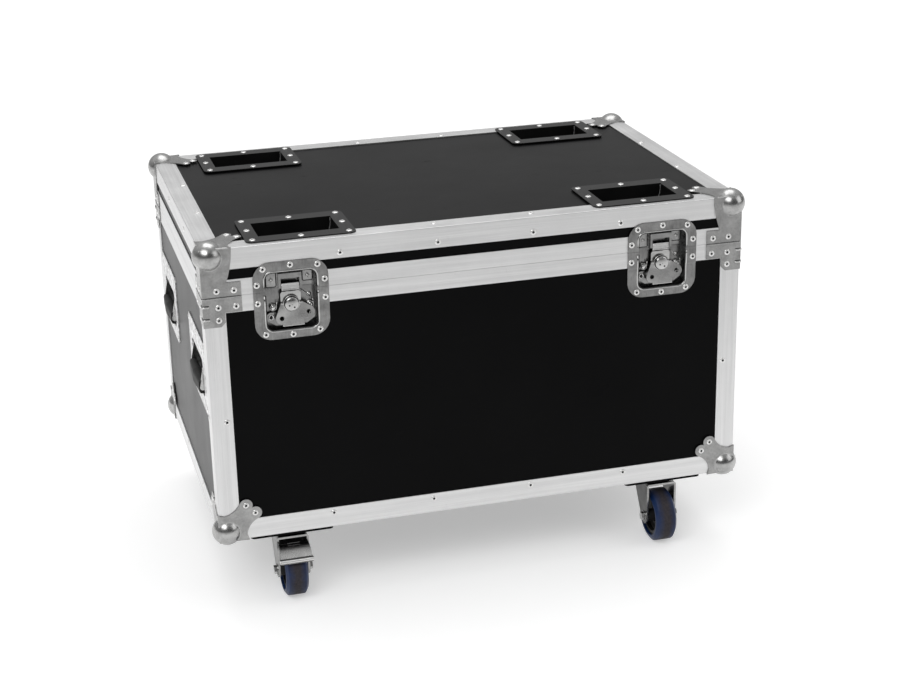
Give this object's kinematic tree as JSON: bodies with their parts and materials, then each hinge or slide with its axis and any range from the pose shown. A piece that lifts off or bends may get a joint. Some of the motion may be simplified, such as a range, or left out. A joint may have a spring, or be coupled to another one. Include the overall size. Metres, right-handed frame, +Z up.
{
  "type": "lighting flight case",
  "caption": "Rolling flight case with hinged lid, recessed twist latches, sprung side handles, stacking dishes and swivel castors.",
  "frame": {"origin": "on the floor under the middle of the case", "axes": "+X along the case to the right, +Y from the latch side to the hinge side, +Z up"},
  "size_m": [0.8048, 0.539, 0.5555],
  "materials": {
    "black_laminate": "satin black laminate on plywood",
    "edge_aluminium": "brushed along its length",
    "zinc_steel": "satin zinc plate",
    "black_steel": "satin black powder coat",
    "bright_steel": "bright zinc plate",
    "grip_rubber": "matt moulded rubber",
    "wheel_plastic": "moulded nylon",
    "blue_tyre": "blue elastic rubber with a worn grey tread"
  },
  "bodies": {
    "base": {"base_front_panel": "black_laminate", "base_back_panel": "black_laminate", "base_left_panel": "black_laminate", "base_right_panel": "black_laminate", "base_bottom_panel": "black_laminate", "base_edge_angles": "edge_aluminium", "base_rim_profile": "edge_aluminium", "base_ball_corners": "zinc_steel", "base_corner_braces": "zinc_steel", "base_latch_dishes": "zinc_steel", "latch_padlock_plates": "zinc_steel", "handle_dishes": "zinc_steel", "castor_boards": "black_laminate", "castor_plates": "zinc_steel", "base_hinge_leaves": "zinc_steel", "hinge_pins": "zinc_steel"},
    "lid": {"lid_top_panel": "black_laminate", "lid_front_panel": "black_laminate", "lid_back_panel": "black_laminate", "lid_left_panel": "black_laminate", "lid_right_panel": "black_laminate", "lid_edge_angles": "edge_aluminium", "lid_rim_profile": "edge_aluminium", "lid_ball_corners": "zinc_steel", "stacking_dishes": "black_steel", "lid_latch_dishes": "zinc_steel", "latch_keepers": "zinc_steel", "lid_hinge_leaves": "zinc_steel"},
    "latch_spindle_left": {"latch_spindle_left": "zinc_steel"},
    "latch_hook_left": {"latch_hook_left": "zinc_steel"},
    "latch_wing_left": {"latch_wing_left": "zinc_steel"},
    "latch_spindle_right": {"latch_spindle_right": "zinc_steel"},
    "latch_hook_right": {"latch_hook_right": "zinc_steel"},
    "latch_wing_right": {"latch_wing_right": "zinc_steel"},
    "handle_left_front": {"handle_bail_left_front": "zinc_steel", "handle_grip_left_front": "grip_rubber"},
    "handle_left_rear": {"handle_bail_left_rear": "zinc_steel", "handle_grip_left_rear": "grip_rubber"},
    "handle_right_front": {"handle_bail_right_front": "zinc_steel", "handle_grip_right_front": "grip_rubber"},
    "handle_right_rear": {"handle_bail_right_rear": "zinc_steel", "handle_grip_right_rear": "grip_rubber"},
    "castor_front_left": {"castor_fork_front_left": "bright_steel", "castor_axle_front_left": "bright_steel"},
    "wheel_front_left": {"castor_wheel_front_left": "wheel_plastic", "castor_tyre_front_left": "blue_tyre"},
    "pedal_front_left": {"brake_pedal_front_left": "bright_steel"},
    "castor_front_right": {"castor_fork_front_right": "bright_steel", "castor_axle_front_right": "bright_steel"},
    "wheel_front_right": {"castor_wheel_front_right": "wheel_plastic", "castor_tyre_front_right": "blue_tyre"},
    "castor_rear_left": {"castor_fork_rear_left": "bright_steel", "castor_axle_rear_left": "bright_steel"},
    "wheel_rear_left": {"castor_wheel_rear_left": "wheel_plastic", "castor_tyre_rear_left": "blue_tyre"},
    "pedal_rear_left": {"brake_pedal_rear_left": "bright_steel"},
    "castor_rear_right": {"castor_fork_rear_right": "bright_steel", "castor_axle_rear_right": "bright_steel"},
    "wheel_rear_right": {"castor_wheel_rear_right": "wheel_plastic", "castor_tyre_rear_right": "blue_tyre"}
  },
  "joints": [
    {"name": "lid_hinge", "type": "hinge", "parent": "base", "child": "lid", "pos_m": [0, 0.2648, 0.478], "axis": [-1, 0, 0], "range_deg": [0, 100]},
    {"name": "latch_left_turn", "type": "hinge", "parent": "base", "child": "latch_spindle_left", "pos_m": [-0.2715, -0.26, 0.4575], "axis": [0, 1, 0], "range_deg": [0, 180]},
    {"name": "latch_left_hook_slide", "type": "slide", "parent": "base", "child": "latch_hook_left", "axis": [0, 0, 1], "range_m": [0, 0.007], "stiffness_N_per_m": 1, "springref_m": 0.1275},
    {"name": "latch_left_wing_fold", "type": "hinge", "parent": "latch_spindle_left", "child": "latch_wing_left", "pos_m": [-0.2715, -0.25625, 0.4575], "axis": [-1, 0, 0], "range_deg": [0, 82]},
    {"name": "latch_right_turn", "type": "hinge", "parent": "base", "child": "latch_spindle_right", "pos_m": [0.2715, -0.26, 0.4575], "axis": [0, 1, 0], "range_deg": [0, 180]},
    {"name": "latch_right_hook_slide", "type": "slide", "parent": "base", "child": "latch_hook_right", "axis": [0, 0, 1], "range_m": [0, 0.007], "stiffness_N_per_m": 1, "springref_m": 0.1275},
    {"name": "latch_right_wing_fold", "type": "hinge", "parent": "latch_spindle_right", "child": "latch_wing_right", "pos_m": [0.2715, -0.25625, 0.4575], "axis": [-1, 0, 0], "range_deg": [0, 82]},
    {"name": "handle_left_front_swing", "type": "hinge", "parent": "base", "child": "handle_left_front", "pos_m": [-0.388, -0.152, 0.359], "axis": [0, 1, 0], "range_deg": [0, 90], "stiffness_Nm_per_rad": 0.2},
    {"name": "handle_left_rear_swing", "type": "hinge", "parent": "base", "child": "handle_left_rear", "pos_m": [-0.388, 0.152, 0.359], "axis": [0, 1, 0], "range_deg": [0, 90], "stiffness_Nm_per_rad": 0.2},
    {"name": "handle_right_front_swing", "type": "hinge", "parent": "base", "child": "handle_right_front", "pos_m": [0.388, -0.152, 0.359], "axis": [0, -1, 0], "range_deg": [0, 90], "stiffness_Nm_per_rad": 0.2},
    {"name": "handle_right_rear_swing", "type": "hinge", "parent": "base", "child": "handle_right_rear", "pos_m": [0.388, 0.152, 0.359], "axis": [0, -1, 0], "range_deg": [0, 90], "stiffness_Nm_per_rad": 0.2},
    {"name": "castor_front_left_swivel", "type": "hinge", "parent": "base", "child": "castor_front_left", "pos_m": [-0.286, -0.193, 0.09], "axis": [0, 0, 1], "continuous": true},
    {"name": "wheel_front_left_spin", "type": "hinge", "parent": "castor_front_left", "child": "wheel_front_left", "pos_m": [-0.286, -0.229, 0.04], "axis": [1, 0, 0], "continuous": true},
    {"name": "pedal_front_left_press", "type": "hinge", "parent": "castor_front_left", "child": "pedal_front_left", "pos_m": [-0.286, -0.231, 0.0875], "axis": [1, 0, 0], "range_deg": [0, 8]},
    {"name": "castor_front_right_swivel", "type": "hinge", "parent": "base", "child": "castor_front_right", "pos_m": [0.286, -0.193, 0.09], "axis": [0, 0, 1], "continuous": true},
    {"name": "wheel_front_right_spin", "type": "hinge", "parent": "castor_front_right", "child": "wheel_front_right", "pos_m": [0.286, -0.229, 0.04], "axis": [1, 0, 0], "continuous": true},
    {"name": "castor_rear_left_swivel", "type": "hinge", "parent": "base", "child": "castor_rear_left", "pos_m": [-0.286, 0.193, 0.09], "axis": [0, 0, 1], "continuous": true},
    {"name": "wheel_rear_left_spin", "type": "hinge", "parent": "castor_rear_left", "child": "wheel_rear_left", "pos_m": [-0.286, 0.157, 0.04], "axis": [1, 0, 0], "continuous": true},
    {"name": "pedal_rear_left_press", "type": "hinge", "parent": "castor_rear_left", "child": "pedal_rear_left", "pos_m": [-0.286, 0.155, 0.0875], "axis": [1, 0, 0], "range_deg": [0, 8]},
    {"name": "castor_rear_right_swivel", "type": "hinge", "parent": "base", "child": "castor_rear_right", "pos_m": [0.286, 0.193, 0.09], "axis": [0, 0, 1], "continuous": true},
    {"name": "wheel_rear_right_spin", "type": "hinge", "parent": "castor_rear_right", "child": "wheel_rear_right", "pos_m": [0.286, 0.157, 0.04], "axis": [1, 0, 0], "continuous": true}
  ],
  "couplings": [
    {"joint": "latch_left_hook_slide", "follows": "latch_left_turn", "m_per_rad": 0.0022282},
    {"joint": "latch_right_hook_slide", "follows": "latch_right_turn", "m_per_rad": 0.0022282}
  ]
}
